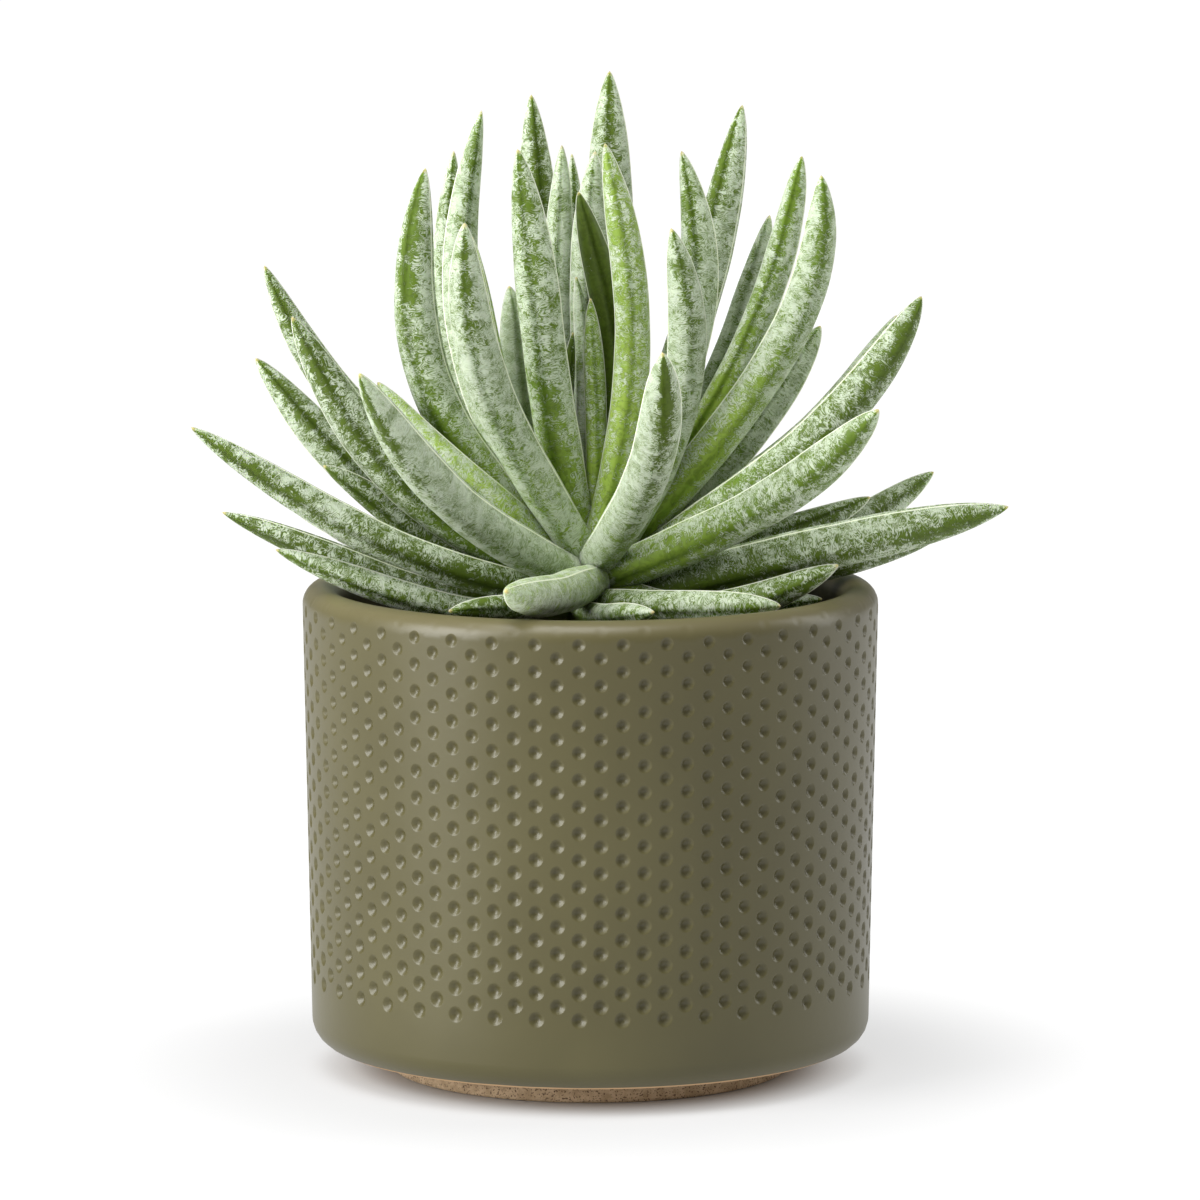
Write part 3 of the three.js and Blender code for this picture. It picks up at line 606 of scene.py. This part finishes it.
def crumb_piece(material):
    """Loose crumbs on the soil: each is a flattened cube whose corners are drawn in at random, turned and
    scaled at random. Their places are even over a ring round the stem."""
    count, seed, nearest, furthest, sink, rise = 900, 11, 11, 50, 0.4, 0.3
    sizes, corner_shares, flattening = (0.35, 1.1), (0.55, 1), [1, 0.8, 0.6]
    rng = np.random.default_rng(seed)
    cube = np.array([[x, y, z] for x in (-1, 1) for y in (-1, 1) for z in (-1, 1)], float)
    cube_faces = [[0, 1, 3, 2], [4, 6, 7, 5], [0, 4, 5, 1], [2, 3, 7, 6], [0, 2, 6, 4], [1, 5, 7, 3]]
    radius = np.sqrt(rng.uniform((nearest / furthest) ** 2, 1, count)) * furthest
    angle = rng.uniform(0, 2 * math.pi, count)
    size = rng.uniform(*sizes, count)
    inward = (SOIL_OUTER - radius) / (SOIL_OUTER - SOIL_INNER)
    height = SOIL_TOP + SOIL_MOUND * inward - sink + rise * size
    middle = np.stack([radius * np.cos(angle), radius * np.sin(angle), height], -1)
    frames = np.linalg.qr(rng.normal(size=(count, 3, 3)))[0]
    frames[:, :, 0] *= np.sign(np.linalg.det(frames))[:, None]
    corners = cube * rng.uniform(*corner_shares, (count, len(cube), 1)) * flattening
    points = middle[:, None] + size[:, None, None] * corners @ frames.transpose(0, 2, 1)
    faces = (np.array(cube_faces) + len(cube) * np.arange(count)[:, None, None]).reshape(-1, 4).tolist()
    mesh_piece("soil_crumbs", points.reshape(-1, 3), faces, material, smooth=False)


def stem_piece(material):
    """A short post with a round top and low knobs where old leaves sat: a profile turned round the Z
    axis, with a staggered cosine relief."""
    sides, steps, inset, knob_height = 64, 46, 0.35, 0.03
    knobs_round, turn, rise = 8, 1.1, 1.6
    z = STEM_BOTTOM + (STEM_TOP - STEM_BOTTOM) * np.linspace(0, 1, steps)
    # The last ring keeps a small radius, so that the end's fan has some width.
    over = np.clip((z - STEM_SHOULDER) / STEM_RADIUS, 0, 0.995)
    radius = (STEM_RADIUS - inset) * np.sqrt(1 - over**2)
    angle = np.arange(sides) * 2 * math.pi / sides
    knobs = np.cos(knobs_round * angle[None] + turn * z[:, None]) * np.cos(rise * z[:, None])
    out = radius[:, None] * (1 + knob_height * knobs)
    rings = np.stack([out * np.cos(angle), out * np.sin(angle), z[:, None] + 0 * angle], -1)
    points = np.concatenate([rings.reshape(-1, 3), [[0, 0, STEM_BOTTOM], [0, 0, STEM_TOP]]])
    mesh_piece("short_stem", points, closed_faces(steps, sides), material, ["stem"])


def leaf_middle(handles):
    """A leaf's cubic middle line: places from root to tip, which crowd toward the tip, with their points
    and directions, the line's length and the way that the leaf's face looks. One more ring at the root
    lies inside the stem. The face looks to the stem's axis, with the edges turned left and right."""
    s = 1 - (1 - np.linspace(0, 1, LEAF_RINGS + 1)[:-1]) ** RING_CROWDING
    fine = np.linspace(0, 1, FINE_PLACES)
    path = bezier_shares(fine) @ handles
    length = np.linalg.norm(np.diff(path, axis=0), axis=1).sum()
    slope = np.gradient(path, axis=0)
    line = bezier_shares(s) @ handles
    tangent = toward(np.stack([np.interp(s, fine, slope[:, k]) for k in range(3)], -1), 1.0)
    line = np.concatenate([[line[0] - ROOT_DEPTH * tangent[0]], line])
    tangent = np.concatenate([tangent[:1], tangent])
    # A trace of height gives a leaf that stands on the axis a way to look too.
    trace = 1e-3
    upper = path[FINE_PLACES // 2:]
    inward = np.array([-upper[:, 0].mean(), -upper[:, 1].mean(), trace])
    chord = toward(handles[3] - handles[0], 1.0)
    face = toward(inward - (inward @ chord) * chord, 1.0)
    face = face + np.array([0, EDGE_TURN if face[1] > FRONT_LIMIT else -EDGE_TURN, 0])
    return np.concatenate([[0], s]), line, tangent, length, face


def leaf_piece(number, handles, width, root_share, material):
    """One leaf: sections square to its cubic middle line, from inside the stem to the tip. A section is
    round on the back and a little flatter on the face, with a low ridge at each edge, and the width runs
    from a broad base to a long rounded finger end with a blunt point."""
    felt, tone, stripe, bare, base = LOOKS.get(number, PLAIN)
    base = max(base, root_share)
    rng = np.random.default_rng(FIRST_SEED + number)
    s, line, tangent, length, face = leaf_middle(handles)
    left = length * (1 - s)
    taper = np.clip(1 - left / (length * (1 - TAPER_FROM)), 0, 1)
    swell = base + (1 - base) * smoothstep(0, FULL_WIDTH_FROM, s)
    half = np.maximum(0.5 * width * swell * (1 - taper**FINE_TAPER) ** TIP_POWER, POINT_HALF)
    up = toward(face - (face * tangent).sum(1, keepdims=True) * tangent, 1.0)
    side = np.cross(tangent, up)
    turn = (rng.uniform(-TWIST, TWIST) + rng.uniform(-MORE_TWIST, MORE_TWIST) * s)[:, None]
    side, up = np.cos(turn) * side + np.sin(turn) * up, np.cos(turn) * up - np.sin(turn) * side
    # The section, as shares across and up, with its points closer together at the two edges.
    quarter = np.radians(LEAF_TURNS)
    flank = quarter[:0:-1]
    angle = np.concatenate([quarter, math.pi - flank, quarter + math.pi, 2 * math.pi - flank])
    c, d = np.cos(angle), np.sin(angle)
    on_edge = abs(c) > np.cos(quarter[1] / 2)
    thick = np.where(d > 0, FACE_DEPTH, BACK_DEPTH) * 2 * d
    lumps = 1
    for reach, height in LUMPS:
        lumps = lumps + height * np.sin(left / reach + rng.uniform(0, 6))
    full = (half * lumps)[:, None]
    ridge = np.minimum(EDGE_RIDGE, RIDGE_SHARE * half)[:, None]
    wide = (full - ridge) * c + ridge * np.sign(c) * on_edge
    deep = full * thick
    rings = line[:, None] + wide[:, :, None] * side[:, None] + deep[:, :, None] * up[:, None]
    points = np.concatenate([rings.reshape(-1, 3), [line[0], handles[3]]])
    # Each leaf reads the felt's pattern at a place of its own.
    start = rng.uniform(0, PATTERN_REACH)
    grain = np.stack([wide, deep, (length - left)[:, None] + 0 * wide + start], -1).reshape(-1, 3)
    grain = np.concatenate([grain, [[0, 0, start], [0, 0, length + start]]])
    # Felt thins down the stripe, most below the tip, and toward the base.
    low = 1 - smoothstep(*BASE_END, s)[:, None]
    high = smoothstep(*TIP_START, s)[:, None]
    inner = smoothstep(*FACE_START, d)[None] * (face[1] > 0)
    shift, spread = rng.uniform(-STRIPE_SHIFT, STRIPE_SHIFT), rng.uniform(*STRIPE_WIDTHS)
    middle = np.exp(-(((c - shift) / spread) ** 2))[None]
    cover = felt - low * (bare * (BARE_ALL + BARE_MIDDLE * middle) + BARE_FACE * inner)
    cover = cover - stripe * (STRIPE_ALL + STRIPE_TIP * high) * middle
    # The edge line: partly a pale margin, partly a painted highlight.
    edge = on_edge[None] * smoothstep(*EDGE_START, s)[:, None]
    point = 1 - smoothstep(*POINT_END, left)[:, None]
    cover = np.stack([cover, 0 * wide + edge, 0 * wide + point], -1).reshape(-1, 3)
    cover = np.concatenate([cover, [[felt, 0, 0], [felt, 0, 1]]])
    # The flesh of the upper leaves turns yellower and paler toward the base.
    deep_green, mid_green, yellow_green = (np.array(linear(*colour)) for colour in FLESH)
    hue = np.clip(tone + low * smoothstep(*YELLOW_ROOTS, handles[0, 2]) + 0 * wide, 0, 2)[..., None]
    flesh = np.where(hue < 1, deep_green + (mid_green - deep_green) * hue,
                     mid_green + (yellow_green - mid_green) * (hue - 1))
    flesh = np.concatenate([flesh.reshape(-1, 3), flesh[0, :1], flesh[-1, :1]])
    mesh_piece(f"finger_leaf_{number:02d}", points, closed_faces(len(rings), len(angle)), material,
               [f"leaf_{number:02d}"], {"grain": grain, "cover": cover, "flesh": flesh})


def area_light(name, place, aim, size, power):
    """A soft box at a place, turned to a point."""
    light = bpy.data.lights.new(name, "AREA")
    light.shape, light.size, light.size_y = "RECTANGLE", size[0], size[1]
    light.energy = power
    lamp = bpy.data.objects.new(name, light)
    lamp.location = place
    x, y, z = np.array(aim, float) - place
    tilt, heading = math.atan2(math.hypot(x, y), -z), math.atan2(y, x) - math.pi / 2
    lamp.rotation_euler = (tilt, 0, heading)
    bpy.context.scene.collection.objects.link(lamp)


def studio():
    """White floor that glows away from the pot; round the pot's foot the glow fades out, which paints a
    soft shadow there. Pale surround, soft boxes on the left and overhead, and a slim one on the right."""
    reach = 7.0
    f = Finish("studio_floor", Roughness=0.9, Emission_Strength=1.0)
    x, y, _ = f.parts(f.place())
    far = (x * x + y * y) ** 0.5
    # Toward the pot the glow fades out and the floor turns a plain grey that takes real shadow, so the dark
    # ring round the foot is partly a painted shadow.
    glow_past_painted_shadow = f.step(far, 0.04, 0.062) * 0.62 + f.step(far, 0.06, 0.125) * 0.38
    f.set(Base_Color=f.blend(glow_past_painted_shadow, (0.45, 0.45, 0.45), (0.02, 0.02, 0.02)),
          Emission_Color=f.blend(glow_past_painted_shadow, (0.0, 0.0, 0.0), (1.0, 1.0, 1.0)))
    corners = [(-reach, -reach, 0), (reach, -reach, 0), (reach, reach, 0), (-reach, reach, 0)]
    mesh = bpy.data.meshes.new("studio_floor")
    mesh.from_pydata(corners, [], [(0, 1, 2, 3)])
    mesh.materials.append(f.material)
    floor = bpy.data.objects.new("studio_floor", mesh)
    bpy.context.scene.collection.objects.link(floor)
    world = bpy.data.worlds.new("studio")
    world.use_nodes = True
    surround = world.node_tree.nodes["Background"].inputs
    surround["Color"].default_value = (1, 1, 1, 1)
    surround["Strength"].default_value = 0.33
    bpy.context.scene.world = world
    aim = (0, 0, 0.1)
    area_light("key", (-1.2, -0.66, 0.62), aim, (0.85, 1.15), 29)
    area_light("top", (-0.2, -0.5, 1.5), aim, (1.0, 1.0), 17)
    area_light("rim", (0.95, 0.25, 0.45), aim, (0.25, 0.8), 3)
    bpy.context.scene.view_settings.view_transform = "Standard"
    lens = bpy.data.cameras.new("camera")
    lens.sensor_width, lens.lens = SENSOR, FOCAL_PIXELS / IMAGE_PIXELS * SENSOR
    camera = bpy.data.objects.new("camera", lens)
    camera.location = [x * MM for x in CAMERA_PLACE]
    camera.rotation_euler = (math.pi / 2 - CAMERA_PITCH, 0, 0)
    bpy.context.scene.collection.objects.link(camera)
    bpy.context.scene.camera = camera


studio()
pot_piece(glaze_finish())
soil = soil_finish()
soil_piece(soil)
crumb_piece(soil)
stem_piece(stem_finish())
leaf_skin = leaf_finish()
widths, root_shares = LEAVES[:, 7], LEAVES[:, 8]
middle_lines = settled(first_handles(LEAVES), widths, root_shares)
for index in range(len(LEAVES)):
    leaf_piece(index + 1, middle_lines[index], widths[index], root_shares[index], leaf_skin)
